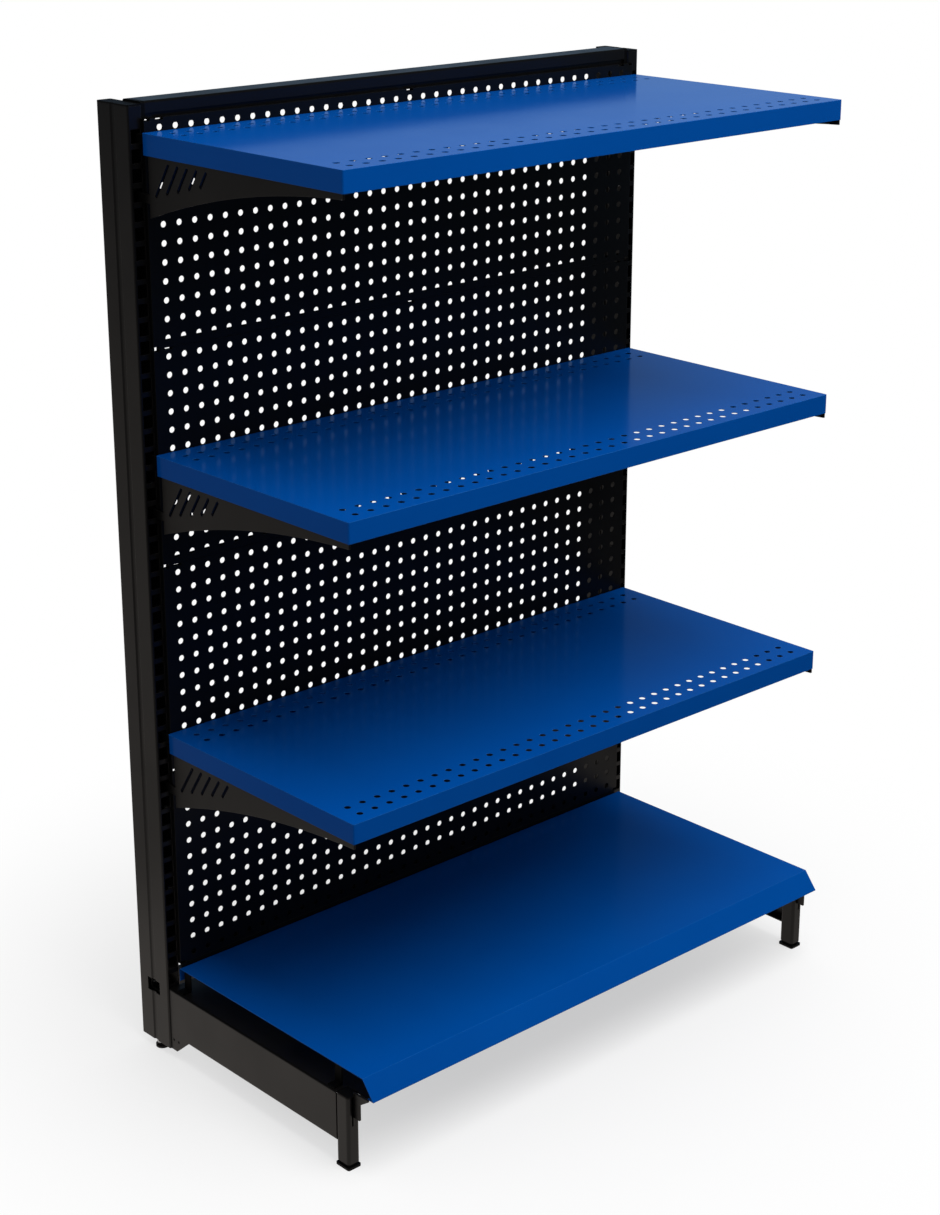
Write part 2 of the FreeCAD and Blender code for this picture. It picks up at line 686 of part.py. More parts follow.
# Brackets: a plate with a bowed lower edge, two hooks and five slanted slits.
def bracket():
    body = new_body("Bracket", TOP_LEVEL)
    back = "-bracket_back"
    tip = f"-{SHELF_FRONT} + shelf_sheet + nose_gap"
    span = f"({SHELF_FRONT} - shelf_sheet - nose_gap - bracket_back)"
    chord = f"({span} ^ 2 + (bracket_drop - bracket_nose) ^ 2)"
    bow = f"({chord} / (bracket_bow * 8) + bracket_bow / 2)"
    upper_hook = hook_steps("-hook_seat", back)
    lower_hook = hook_steps("-hook_seat - hook_slots * slot_pitch", back)
    plate = [
        (tip, "-bracket_nose", bow, 1),
        (tip, "-shelf_sheet"),
        (back, "-shelf_sheet"),
        *upper_hook,
        *lower_hook,
        (back, "-bracket_drop"),
    ]
    plate_sketch = outline(body, "YZ_Plane", HOOK_IN, [plate])
    pad(body, plate_sketch, "bracket_sheet")
    slits = []
    slant = "sqrt(slit_run ^ 2 + slit_rise ^ 2)"
    half_run = f"(slit_width / 2 * slit_run / {slant})"
    half_rise = f"(slit_width / 2 * slit_rise / {slant})"
    for number in range(5):
        low_y = f"(-slit_first - slit_step * {number} - {half_run})"
        low_z = f"(-slit_low + slit_climb * {number} + {half_rise})"
        high_z = f"(-slit_top - {half_rise})"
        high_y = f"({low_y} - ({high_z} - {low_z}) * slit_run / slit_rise)"
        slits.append([
            (f"{low_y} - {half_rise}", f"{low_z} - {half_run}"),
            (f"{low_y} + {half_run}", f"{low_z} - {half_rise}", "slit_width / 2", 1),
            (f"{low_y} + {half_rise}", f"{low_z} + {half_run}", "slit_width / 2", 1),
            (f"{high_y} + {half_rise}", f"{high_z} + {half_run}"),
            (f"{high_y} - {half_run}", f"{high_z} + {half_rise}", "slit_width / 2", 1),
            (f"{high_y} - {half_rise}", f"{high_z} - {half_run}", "slit_width / 2", 1),
        ])
    pocket(body, outline(body, "YZ_Plane", f"{HOOK_IN} + bracket_sheet", slits), "bracket_sheet")
    return body


# Shelves: pans with folded edges, the rear one short of the brackets, and rows of small holes.
def shelf():
    body = new_body("Shelf", TOP_LEVEL)
    front = f"-{SHELF_FRONT}"
    rear_half = f"({SHELF_IN} - shelf_notch)"
    top = rounded(f"-{SHELF_HALF}", front, SHELF_HALF, "-shelf_gap", "shelf_bend")
    pad(body, outline(body, "XY_Plane", "0", [top]), "shelf_sheet", True)
    rim = [
        (f"-{SHELF_HALF}", f"{front} + shelf_bend"),
        (f"-{SHELF_HALF} + shelf_bend", front, "shelf_bend", 1),
        (f"{SHELF_HALF} - shelf_bend", front),
        (SHELF_HALF, f"{front} + shelf_bend", "shelf_bend", 1),
        (SHELF_HALF, "-shelf_gap - shelf_bend"),
        (SHELF_IN, "-shelf_gap - shelf_bend"),
        (SHELF_IN, f"{front} + shelf_bend"),
        (f"{SHELF_IN} - shelf_bend + shelf_sheet", f"{front} + shelf_sheet", "shelf_bend - shelf_sheet", -1),
        (f"-{SHELF_IN} + shelf_bend - shelf_sheet", f"{front} + shelf_sheet"),
        (f"-{SHELF_IN}", f"{front} + shelf_bend", "shelf_bend - shelf_sheet", -1),
        (f"-{SHELF_IN}", "-shelf_gap - shelf_bend"),
        (f"-{SHELF_HALF}", "-shelf_gap - shelf_bend"),
    ]
    rear = box(f"-{rear_half}", "-shelf_gap - shelf_sheet", rear_half, "-shelf_gap")
    pad(body, outline(body, "XY_Plane", "0", [rim, rear]), "shelf_edge", True)
    lips = [
        box(f"-{rear_half}", f"{front} + shelf_sheet / 2", rear_half, f"{front} + shelf_lip"),
        box(f"-{rear_half}", "-shelf_gap - shelf_lip", rear_half, "-shelf_gap - shelf_sheet / 2"),
    ]
    pad(body, outline(body, "XY_Plane", "-shelf_edge", lips), "shelf_sheet")
    marks = []
    for place in ("-shelf_gap - row_rear", "-shelf_gap - row_rear - row_step",
                  f"{front} + row_front", f"{front} + row_front + row_step"):
        marks.append((f"-{HOLE_REACH} * hole_pitch", place, "row_dia / 2"))
    holes = pocket(body, outline(body, "XY_Plane", "0", [], marks), "shelf_sheet * 2")
    repeat(body, holes, ("H_Axis", f"({HOLE_REACH} * 2 + 1)", "hole_pitch", False))
    return body


# Ribs: hat-section channels under the sheets.
def rib(name, level, sheet_name, half):
    body = new_body(name, level)
    middle = f"(-{SHELF_FRONT} / 2)"
    near = f"{middle} - rib_width / 2"
    far = f"{middle} + rib_width / 2"
    top = f"-{sheet_name}"
    low = f"-{sheet_name} - rib_deep"
    hat = [
        (near, top),
        (near, f"{top} - rib_sheet"),
        (f"{near} + rib_foot - rib_sheet", f"{top} - rib_sheet"),
        (f"{near} + rib_foot - rib_sheet + rib_slope", low),
        (f"{far} - rib_foot + rib_sheet - rib_slope", low),
        (f"{far} - rib_foot + rib_sheet", f"{top} - rib_sheet"),
        (far, f"{top} - rib_sheet"),
        (far, top),
        (f"{far} - rib_foot", top),
        (f"{far} - rib_foot - rib_slope", f"{low} + rib_sheet"),
        (f"{near} + rib_foot + rib_slope", f"{low} + rib_sheet"),
        (f"{near} + rib_foot", top),
    ]
    pad(body, outline(body, "YZ_Plane", f"-{half}", [hat]), f"{half} * 2")
    return body


top_bracket = bracket()
top_shelf = shelf()
top_rib = rib("ShelfRib", TOP_LEVEL, "shelf_sheet", f"({SHELF_IN} - rib_short)")
keep_pair(top_bracket, "bracket_upper")
keep(top_shelf, "shelf_upper")
keep(top_rib, "shelf_rib_upper")
for level, shift in LOWER_LEVELS.items():
    keep_pair(placed(top_bracket, f"Bracket_{level}", shift), f"bracket_{level}")
    keep(placed(top_shelf, f"Shelf_{level}", shift), f"shelf_{level}")
    keep(placed(top_rib, f"ShelfRib_{level}", shift), f"shelf_rib_{level}")

# Base shelf: one folded sheet with a rear flange and a sloping front lip turned back at its foot.
BASE_HALF = f"({AXIS} - base_short)"
base = new_body("BaseShelf", "base_top")
lip_slant = "(base_sheet * sqrt((base_reach - base_flat) ^ 2 + base_drop ^ 2) / base_drop)"
base_slope = "((base_reach - base_flat) / base_drop)"
base_section = [
    ("-base_gap - base_bend", "0", "base_bend", 1),
    ("-base_flat", "0"),
    ("-base_reach", "-base_drop"),
    ("-base_reach + base_return", "-base_drop"),
    ("-base_reach + base_return", "-base_drop + base_sheet"),
    (f"-base_reach + {lip_slant} + base_sheet * {base_slope}", "-base_drop + base_sheet"),
    (f"-base_flat + {lip_slant} - base_sheet * {base_slope}", "-base_sheet"),
    ("-base_gap - base_bend", "-base_sheet"),
    ("-base_gap - base_sheet", "-base_bend", "base_bend - base_sheet", -1),
    ("-base_gap - base_sheet", "-base_rear"),
    ("-base_gap", "-base_rear"),
    ("-base_gap", "-base_bend"),
]
pad(base, outline(base, "YZ_Plane", f"-{BASE_HALF}", [base_section]), f"{BASE_HALF} * 2")
keep(base, "base_shelf")
base_rib = rib("BaseRib", "base_top", "base_sheet", f"({BEAM_IN} - rib_short)")
keep(base_rib, "base_rib")

# Foot beams: channels open towards the middle, with a wide top flange under the base shelf's edge that
# passes the leg as an ear, a tab of the web reaching down at the rear, and a web end that laps the leg's
# rounded corner where the two are welded.
beam = new_body("FootBeam")
beam_section = [
    (f"{BEAM_OUT} - beam_shoe", "beam_low"),
    (f"{BEAM_OUT} - beam_bend", "beam_low"),
    (BEAM_OUT, "beam_low + beam_bend", "beam_bend", 1),
    (BEAM_OUT, f"{BEAM_TOP} - beam_bend"),
    (f"{BEAM_OUT} - beam_bend", BEAM_TOP, "beam_bend", 1),
    (f"{BEAM_OUT} - beam_deck", BEAM_TOP),
    (f"{BEAM_OUT} - beam_deck", f"{BEAM_TOP} - beam_wall"),
    (f"{BEAM_OUT} - beam_bend", f"{BEAM_TOP} - beam_wall"),
    (f"{BEAM_OUT} - beam_wall", f"{BEAM_TOP} - beam_bend", "beam_bend - beam_wall", -1),
    (f"{BEAM_OUT} - beam_wall", "beam_low + beam_bend"),
    (f"{BEAM_OUT} - beam_bend", "beam_low + beam_wall", "beam_bend - beam_wall", -1),
    (f"{BEAM_OUT} - beam_shoe", "beam_low + beam_wall"),
]
pad(beam, outline(beam, "XZ_Plane", "-panel_depth", [beam_section]), "panel_depth + beam_reach")
ear = box(f"{BEAM_OUT} - beam_deck", f"-{LEG_FRONT} - ear_out", f"{BEAM_IN} - fit_clear",
          "-beam_reach + beam_bend")
pad(beam, outline(beam, "XY_Plane", f"{BEAM_TOP} - beam_wall", [ear]), "beam_wall")
web_end = box("-beam_reach - weld_lap", "beam_low + beam_bend", "-beam_reach", f"{BEAM_TOP} - beam_bend")
pad(beam, outline(beam, "YZ_Plane", f"{BEAM_OUT} - beam_wall", [web_end]), "beam_wall")
tab = [
    ("panel_depth", "upright_lift"),
    ("panel_depth", "beam_low + tab_lap"),
    ("panel_depth - tab_long", "beam_low + tab_lap"),
    ("panel_depth - tab_long", "beam_low"),
    ("panel_depth - tab_flat", "upright_lift"),
]
tab_marks = [
    ("panel_depth - tab_hole_set", "upright_lift + tab_hole_up", "tab_hole / 2"),
    ("panel_depth - tab_hole_set - tab_hole_step", "upright_lift + tab_hole_up", "tab_hole / 2"),
]
pad(beam, outline(beam, "YZ_Plane", f"{BEAM_OUT} - beam_wall", [tab], tab_marks), "beam_wall")
keep_pair(beam, "foot_beam")

# Beam hooks: a plate inside each channel with two hooks in the upright's slots.
BEAM_SEAT = f"({TOP_SLOT} - ceil(({TOP_SLOT} - beam_hook_top) / slot_pitch) * slot_pitch)"
beam_hook = new_body("BeamHook")
beam_plate = [
    ("-beam_hook_long", "beam_low + beam_wall"),
    ("-beam_hook_long", f"{BEAM_TOP} - beam_wall"),
    ("-panel_gap", f"{BEAM_TOP} - beam_wall"),
    *hook_steps(BEAM_SEAT, "-panel_gap"),
    *hook_steps(f"{BEAM_SEAT} - slot_pitch", "-panel_gap"),
    ("-panel_gap", "beam_low + beam_wall"),
]
pad(beam_hook, outline(beam_hook, "YZ_Plane", HOOK_IN, [beam_plate]), "bracket_sheet")
keep_pair(beam_hook, "beam_hook")

# Legs: square tube at the beams' front ends, slotted in front for the plinth holders.
leg = new_body("Leg")


def leg_outline(inset):
    bend = "leg_bend" if inset == "0" else "(leg_bend - leg_wall)"
    return rounded(f"{BEAM_IN} + {inset}", f"-{LEG_FRONT} + {inset}", f"{BEAM_OUT} - {inset}",
                   f"-beam_reach - {inset}", bend)


pad(leg, outline(leg, "XY_Plane", "leg_lift", [leg_outline("0"), leg_outline("leg_wall")]),
    f"{BEAM_TOP} - leg_plate - leg_lift")
LEG_SLOT = f"({BEAM_OUT} - leg_slot_set)"
leg_slot = box(f"{LEG_SLOT} - holder_sheet / 2 - hook_clear", "leg_slot_low",
               f"{LEG_SLOT} + holder_sheet / 2 + leg_slot_free", "leg_slot_low + leg_slot_tall")
pocket(leg, outline(leg, "XZ_Plane", f"{LEG_FRONT}", [leg_slot]), "leg_wall * 2")
keep_pair(leg, "leg")

# Leg plugs: a plate on the leg's top end with a plug inside it.
leg_cap = new_body("LegPlug", f"{BEAM_TOP} - leg_plate")
pad(leg_cap, outline(leg_cap, "XY_Plane", "0", [leg_outline("0")]), "leg_plate")
cap_plug = rounded(f"{BEAM_IN} + leg_wall + fit_clear", f"-{LEG_FRONT} + leg_depth / 2",
                   f"{BEAM_OUT} - leg_wall - fit_clear", "-beam_reach - leg_wall - fit_clear",
                   "(leg_bend - leg_wall)")
pad(leg_cap, outline(leg_cap, "XY_Plane", "0", [cap_plug]), "leg_plug", True)
keep_both([leg_cap], "leg_plugs")

# Plinth holders: a plate hooked into the leg's slot, with a nose beside the base shelf's lip.
holder = new_body("PlinthHolder")
HOLDER_BACK = f"(-{LEG_FRONT} + leg_wall + hook_clear)"
holder_plate = [
    (f"-{LEG_FRONT}", "holder_low"),
    (f"-{LEG_FRONT}", "leg_slot_low"),
    (HOLDER_BACK, "leg_slot_low"),
    (HOLDER_BACK, "leg_slot_low - hook_tail"),
    (f"{HOLDER_BACK} + hook_thick", "leg_slot_low - hook_tail"),
    (f"{HOLDER_BACK} + hook_thick", "leg_slot_low + holder_neck"),
    (f"-{LEG_FRONT}", "leg_slot_low + holder_neck"),
    (f"-{LEG_FRONT}", f"{BEAM_TOP} + holder_root"),
    (f"-{LEG_FRONT} - holder_nose", f"{BEAM_TOP} + holder_rise"),
    (f"-{LEG_FRONT} - holder_nose", f"{BEAM_TOP} + holder_rise - holder_face"),
    (f"-{LEG_FRONT} - holder_wide", f"{BEAM_TOP} - holder_throat"),
    (f"-{LEG_FRONT} - holder_wide", "holder_low"),
]
pad(holder, outline(holder, "YZ_Plane", f"{LEG_SLOT} - holder_sheet / 2", [holder_plate]), "holder_sheet")
keep_pair(holder, "plinth_holder")


# Base supports: bent pieces that stand on the beams and carry the base shelf.
def prop(place):
    body = new_body(f"Prop_{place}")
    web = f"({BEAM_IN} + prop_sheet)"
    high = "(base_top - base_sheet)"
    bent = [
        (web, f"{BEAM_TOP} + prop_bend"),
        (f"{web} + prop_bend", BEAM_TOP, "prop_bend", 1),
        (f"{web} + prop_foot", BEAM_TOP),
        (f"{web} + prop_foot", f"{BEAM_TOP} + prop_sheet"),
        (f"{web} + prop_bend", f"{BEAM_TOP} + prop_sheet"),
        (f"{web} + prop_sheet", f"{BEAM_TOP} + prop_bend", "prop_bend - prop_sheet", -1),
        (f"{web} + prop_sheet", f"{high} - prop_bend"),
        (f"{web} + prop_sheet - prop_bend", high, "prop_bend", 1),
        (f"{web} - prop_head", high),
        (f"{web} - prop_head", f"{high} - prop_sheet"),
        (f"{web} + prop_sheet - prop_bend", f"{high} - prop_sheet"),
        (web, f"{high} - prop_bend", "prop_bend - prop_sheet", -1),
    ]
    pad(body, outline(body, "XZ_Plane", f"{place} - prop_long / 2", [bent]), "prop_long")
    return body


keep_both([prop("prop_front"), prop("prop_rear")], "base_supports")

# Levelling feet: threaded inserts in the tubes' ends, studs through them, and plastic pads below.
REAR_FOOT = "(panel_depth + upright_depth / 2)"
FRONT_FOOT = "(-beam_reach - leg_depth / 2)"
FRONT_AXIS = f"({BEAM_OUT} - beam_width / 2)"
THREAD_HOLE = "stud_dia / 2 + fit_clear"

rear_insert = new_body("RearInsert", "upright_lift")
pad(rear_insert, outline(rear_insert, "XY_Plane", "0", [upright_section("(upright_wall + fit_clear)")], [
    (AXIS, REAR_FOOT, THREAD_HOLE)]), "insert_tall")
front_insert = new_body("FrontInsert", "leg_lift")
pad(front_insert, outline(front_insert, "XY_Plane", "0", [leg_outline("(leg_wall + fit_clear)")], [
    (FRONT_AXIS, FRONT_FOOT, THREAD_HOLE)]), "insert_tall")
keep_both([rear_insert, front_insert], "foot_inserts")

lock_nut = new_body("LockNut", "pad_tall")
hexagon = []
for corner in range(6):
    reach = "nut_across / sqrt(3)"
    hexagon.append((f"{AXIS} + {reach} * cos(60 * {corner})", f"{REAR_FOOT} + {reach} * sin(60 * {corner})"))
pad(lock_nut, outline(lock_nut, "XY_Plane", "0", [hexagon], [(AXIS, REAR_FOOT, THREAD_HOLE)]),
    "upright_lift - pad_tall")
keep_both([lock_nut], "lock_nuts")


def stud(name, across, along, top):
    """A threaded stud from the pad's socket to some way above the insert's lower end."""
    body = new_body(name, "pad_floor")
    pad(body, outline(body, "XY_Plane", "0", [], [(across, along, "stud_dia / 2")]), f"{top} - pad_floor")
    keep_pair(body, name)


stud("foot_stud_front", FRONT_AXIS, FRONT_FOOT, "(leg_lift + stud_long - pad_floor)")
stud("foot_stud_rear", AXIS, REAR_FOOT, "(upright_lift + stud_long - pad_floor)")

rear_pad = new_body("RearPad")
pad(rear_pad, outline(rear_pad, "XY_Plane", "0", [], [(AXIS, REAR_FOOT, "pad_dia / 2")]), "pad_rim")
pad(rear_pad, outline(rear_pad, "XY_Plane", "0", [], [(AXIS, REAR_FOOT, "pad_neck_dia / 2")]), "pad_tall")
pocket(rear_pad, outline(rear_pad, "XY_Plane", "pad_tall", [], [(AXIS, REAR_FOOT, THREAD_HOLE)]),
       "pad_tall - pad_floor")
keep_pair(rear_pad, "foot_pad_rear")

front_pad = new_body("FrontPad")
pad(front_pad, outline(front_pad, "XY_Plane", "0", [leg_outline("(-pad_over)")]), "pad_plate")
pad(front_pad, outline(front_pad, "XY_Plane", "0", [leg_outline("pad_waist")]), "leg_lift")
pocket(front_pad, outline(front_pad, "XY_Plane", "leg_lift", [], [(FRONT_AXIS, FRONT_FOOT, THREAD_HOLE)]),
       "leg_lift - pad_floor")
keep_pair(front_pad, "foot_pad_front")

doc.recompute()
for item in doc.Objects:
    if "Invalid" in item.State or "Error" in item.State:
        raise RuntimeError(f"{item.Label} failed: {item.State}")
checked = []
for name, piece in nodes.items():
    if piece.Shape.isNull() or not piece.Shape.Solids:
        raise RuntimeError(f"{name} has no shape")
    for solid in piece.Shape.Solids:
        if any(solid.isPartner(other) for other in checked):
            continue
        if not solid.isValid():
            raise RuntimeError(f"{name} isn't sound")
        checked.append(solid)

os.makedirs("parts", exist_ok=True)
for name, piece in nodes.items():
    piece.Shape.exportStep(f"parts/{name}.step")
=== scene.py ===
import math

import bpy
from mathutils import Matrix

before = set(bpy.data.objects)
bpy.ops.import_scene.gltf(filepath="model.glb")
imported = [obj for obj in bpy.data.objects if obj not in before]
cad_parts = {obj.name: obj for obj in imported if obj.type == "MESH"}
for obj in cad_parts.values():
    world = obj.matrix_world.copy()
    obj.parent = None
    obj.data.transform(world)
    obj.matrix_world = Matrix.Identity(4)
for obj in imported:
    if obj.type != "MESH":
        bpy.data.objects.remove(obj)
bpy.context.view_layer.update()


# The uprights: roll-formed steel box sections with a flute down each side and a row of slots
# up the front. They are powder coated satin black and baked before the unit is put together.
SIDES = ("left", "right")
MM = 0.001


def linear(colour):
    """A written sRGB colour such as "#1b1a19" as the linear values that a shader takes."""
    parts = [int(colour[i:i + 2], 16) / 255 for i in (1, 3, 5)]
    return [p / 12.92 if p <= 0.04045 else ((p + 0.055) / 1.055) ** 2.4 for p in parts] + [1.0]


def add(tree, kind, settings, inputs):
    """One shader node: its settings, then every input as a value or as a link from a socket."""
    made = tree.nodes.new(kind)
    for name, setting in settings.items():
        setattr(made, name, setting)
    for name, given in inputs.items():
        if isinstance(given, bpy.types.NodeSocket):
            tree.links.new(given, made.inputs[name])
        else:
            made.inputs[name].default_value = given
    return made


def blank(name):
    """A new material with its node tree, its shader and the place on the piece in metres."""
    made = bpy.data.materials.new(name)
    made.use_nodes = True
    tree = made.node_tree
    place = add(tree, "ShaderNodeTexCoord", {}, {}).outputs["Object"]
    return made, tree, tree.nodes["Principled BSDF"], place


def powder_coat(name, deep, pale, edge, smooth, dull, specular):
    """Oven-cured powder on sheet steel: two close tones, orange peel, and a painted highlight along
    the rounded edges.
    """
    made, tree, shader, place = blank(name)
    cloud_width = 143.0 * MM
    cloud = add(tree, "ShaderNodeTexNoise", {}, {
        "Vector": place, "Scale": 1.0 / cloud_width, "Detail": 3.0})
    tone = add(tree, "ShaderNodeMix", {"data_type": "RGBA"}, {
        "Factor": cloud.outputs["Fac"], "A": linear(deep), "B": linear(pale)})
    # Each folded edge is rounded over about 1 mm in the shading. The edge colour is painted over it
    # there as a paler highlight.
    edge_radius = 1.2 * MM
    round_edge = add(tree, "ShaderNodeBevel", {"samples": 4}, {"Radius": edge_radius})
    flat = add(tree, "ShaderNodeNewGeometry", {}, {})
    agree = add(tree, "ShaderNodeVectorMath", {"operation": "DOT_PRODUCT"}, {
        0: round_edge.outputs["Normal"], 1: flat.outputs["Normal"]})
    edge_highlight_mask = add(tree, "ShaderNodeMapRange", {}, {
        "Value": agree.outputs["Value"],
        "From Min": 0.99, "From Max": 0.78, "To Min": 0.0, "To Max": 0.5})
    coat = add(tree, "ShaderNodeMix", {"data_type": "RGBA"}, {
        "Factor": edge_highlight_mask.outputs["Result"], "A": tone.outputs["Result"], "B": linear(edge)})
    tree.links.new(coat.outputs["Result"], shader.inputs["Base Color"])
    # The real orange peel has waves of about 1.5 mm. They are drawn at 4 mm, so that they show.
    peel_width = 4.0 * MM
    peel_height = 0.3 * MM
    peel = add(tree, "ShaderNodeTexNoise", {}, {
        "Vector": place, "Scale": 1.0 / peel_width, "Detail": 1.0})
    bump = add(tree, "ShaderNodeBump", {}, {
        "Height": peel.outputs["Fac"], "Strength": 0.05, "Distance": peel_height,
        "Normal": round_edge.outputs["Normal"]})
    tree.links.new(bump.outputs["Normal"], shader.inputs["Normal"])
    patch_width = 83.3 * MM
    patch = add(tree, "ShaderNodeTexNoise", {}, {
        "Vector": place, "Scale": 1.0 / patch_width, "Detail": 2.0})
    gloss = add(tree, "ShaderNodeMapRange", {}, {
        "Value": patch.outputs["Fac"],
        "From Min": 0.3, "From Max": 0.7, "To Min": smooth, "To Max": dull})
    tree.links.new(gloss.outputs["Result"], shader.inputs["Roughness"])
    shader.inputs["Metallic"].default_value = 0.0
    shader.inputs["IOR"].default_value = 1.5
    shader.inputs["Specular IOR Level"].default_value = specular
    return made


def give(material, *names):
    """The CAD nodes of these names show this material."""
    for name in names:
        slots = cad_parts[name].data.materials
        slots.clear()
        slots.append(material)


# A soft sheen that reads as dark grey where it mirrors the floor, and near black elsewhere.
satin_black = powder_coat(
    "satin_black_powder_coated_steel", deep="#090808", pale="#0e0d0c", edge="#2a2826",
    smooth=0.32, dull=0.40, specular=0.4)
for side in SIDES:
    give(satin_black, f"upright_{side}")


# The caps: injection moulded plates of black plastic, each with a plug on its underside. They
# are pressed into the open tops of the uprights and need no screw.
def moulded(name, deep, pale):
    """Injection moulded plastic with the fine spark texture of its mould."""
    made, tree, shader, place = blank(name)
    cloud_width = 16.7 * MM
    cloud = add(tree, "ShaderNodeTexNoise", {}, {
        "Vector": place, "Scale": 1.0 / cloud_width, "Detail": 3.0})
    tone = add(tree, "ShaderNodeMix", {"data_type": "RGBA"}, {
        "Factor": cloud.outputs["Fac"], "A": linear(deep), "B": linear(pale)})
    tree.links.new(tone.outputs["Result"], shader.inputs["Base Color"])
    # The spark texture is about 0.5 mm on the mould. It is drawn at about 1 mm, so that it shows.
    grain_width = 1.11 * MM
    grain_height = 0.2 * MM
    grain = add(tree, "ShaderNodeTexNoise", {}, {
        "Vector": place, "Scale": 1.0 / grain_width, "Detail": 2.0})
    bump = add(tree, "ShaderNodeBump", {}, {
        "Height": grain.outputs["Fac"], "Strength": 0.2, "Distance": grain_height})
    tree.links.new(bump.outputs["Normal"], shader.inputs["Normal"])
    shader.inputs["Roughness"].default_value = 0.55
    shader.inputs["IOR"].default_value = 1.47
    shader.inputs["Specular IOR Level"].default_value = 0.2
    return made


# Duller and a shade deeper than the coated steel beside it.
black_plastic = moulded("moulded_black_plastic", deep="#060606", pale="#0b0b0b")
for side in SIDES:
    give(black_plastic, f"upright_cap_{side}")


# The ties between the uprights: a folded steel channel as top rail, plugged on plastic connectors
# that are pegged to the uprights, and a steel tube set in windows near the uprights' feet.
# Rail and tube go through the uprights' coating line.
give(satin_black, "top_rail", "bottom_spreader")
give(black_plastic, "rail_connectors")


# The screws: cold headed steel, bright zinc plated. One at each end ties the tube to its upright
# from behind, and the others go through the panels' lugs into the uprights' inner sides.
def plated(name, deep, pale, smooth, dull):
    """Zinc over steel: a clouded bright grey with a slightly uneven polish."""
    made, tree, shader, place = blank(name)
    cloud_width = 3.33 * MM
    cloud = add(tree, "ShaderNodeTexNoise", {}, {
        "Vector": place, "Scale": 1.0 / cloud_width, "Detail": 3.0})
    tone = add(tree, "ShaderNodeMix", {"data_type": "RGBA"}, {
        "Factor": cloud.outputs["Fac"], "A": linear(deep), "B": linear(pale)})
    tree.links.new(tone.outputs["Result"], shader.inputs["Base Color"])
    gloss = add(tree, "ShaderNodeMapRange", {}, {
        "Value": cloud.outputs["Fac"],
        "From Min": 0.3, "From Max": 0.7, "To Min": smooth, "To Max": dull})
    tree.links.new(gloss.outputs["Result"], shader.inputs["Roughness"])
    shader.inputs["Metallic"].default_value = 1.0
    return made


# Small pale glints among the black pieces.
bright_zinc = plated(
    "bright_zinc_plated_steel", deep="#b4b8bd", pale="#cdd0d3", smooth=0.28, dull=0.42)
give(bright_zinc, "spreader_screws", "panel_screws")


# The back panels: steel sheet punched with round holes at 25 mm and folded back on all four
# edges. The lowest stands on a folded ledge, and lugs behind them are screwed to the uprights.
PANEL_COUNT = 4
# Drier and deeper than the uprights' coat, so that only the holes and seams show.
fine_black = powder_coat(
    "fine_matt_black_powder_coated_steel", deep="#070707", pale="#0b0b0b", edge="#1c1b1a",
    smooth=0.40, dull=0.48, specular=0.3)
for number in range(1, PANEL_COUNT + 1):
    give(fine_black, f"back_panel_{number}")
give(fine_black, "panel_ledge", "panel_lugs")


# The shelf brackets: laser cut steel plates with slanted slits, a bowed lower edge and hooks
# that drop into the slots of the uprights. They have the uprights' satin black coat.
LEVELS = ("upper", "middle", "lower")
for level in LEVELS:
    for side in SIDES:
        give(satin_black, f"bracket_{level}_{side}")


# The shelves: sheet steel trays with four folded edges and rows of punched holes, each with one
# rib spot welded underneath before coating. They only lie on their brackets.
# The deep blue mirrors little seen from above, and picks up a pale haze at a low angle.
gloss_blue = powder_coat(
    "gloss_blue_powder_coated_steel", deep="#00428e", pale="#014896", edge="#3a78be",
    smooth=0.12, dull=0.15, specular=0.06)
for level in LEVELS:
    give(gloss_blue, f"shelf_{level}", f"shelf_rib_{level}")


# The feet of the frame: channel beams hooked into the uprights, with a square tube leg welded
# to each front end, a plinth holder hooked in its slot and bent props under the base shelf.
for side in SIDES:
    give(satin_black, f"foot_beam_{side}", f"beam_hook_{side}")
    give(satin_black, f"leg_{side}", f"plinth_holder_{side}")
give(black_plastic, "leg_plugs")
# The props stand in the dark under the shelf's edge. Their coat is painted deeper and duller than
# the uprights' as painted shade, so that they sink into that dark.
painted_shade_black = powder_coat(
    "painted_shade_black_steel", deep="#040404", pale="#070707", edge="#0d0d0d",
    smooth=0.60, dull=0.70, specular=0.08)
give(painted_shade_black, "base_supports")


# The base shelf: one folded sheet with a sloping front lip and a rib below, laid on the props.
# It comes from the same blue coating line as the shelves.
give(gloss_blue, "base_shelf", "base_rib")


# The levelling feet: plastic inserts in the tube ends, a zinc plated stud through each, a lock
# nut at the top and a moulded pad on the floor.
give(black_plastic, "foot_inserts")
give(bright_zinc, "lock_nuts")
for side in SIDES:
    for end in ("front", "rear"):
        give(bright_zinc, f"foot_stud_{end}_{side}")
        give(black_plastic, f"foot_pad_{end}_{side}")


# The floor: a plain pale ground. It keeps the shadow round the feet and turns to the white of
# the background with distance. It throws less light back at the part than the camera sees in it.
FLOOR_WIDTH = 16.0
bpy.ops.mesh.primitive_plane_add(size=FLOOR_WIDTH, location=(0.0, 0.0, 0.0))
floor = bpy.context.object
floor.name = "studio_floor"
paper, ground, paper_shader, spot = blank("matt_white_studio_paper")
paper_shader.inputs["Roughness"].default_value = 0.9
paper_shader.inputs["Specular IOR Level"].default_value = 0.1
ground_path = add(ground, "ShaderNodeLightPath", {}, {})
paper_tone = add(ground, "ShaderNodeMix", {"data_type": "RGBA"}, {
    "Factor": ground_path.outputs["Is Diffuse Ray"],
    "A": linear("#e8e8e8"), "B": linear("#8c8c8c")})
ground.links.new(paper_tone.outputs["Result"], paper_shader.inputs["Base Color"])
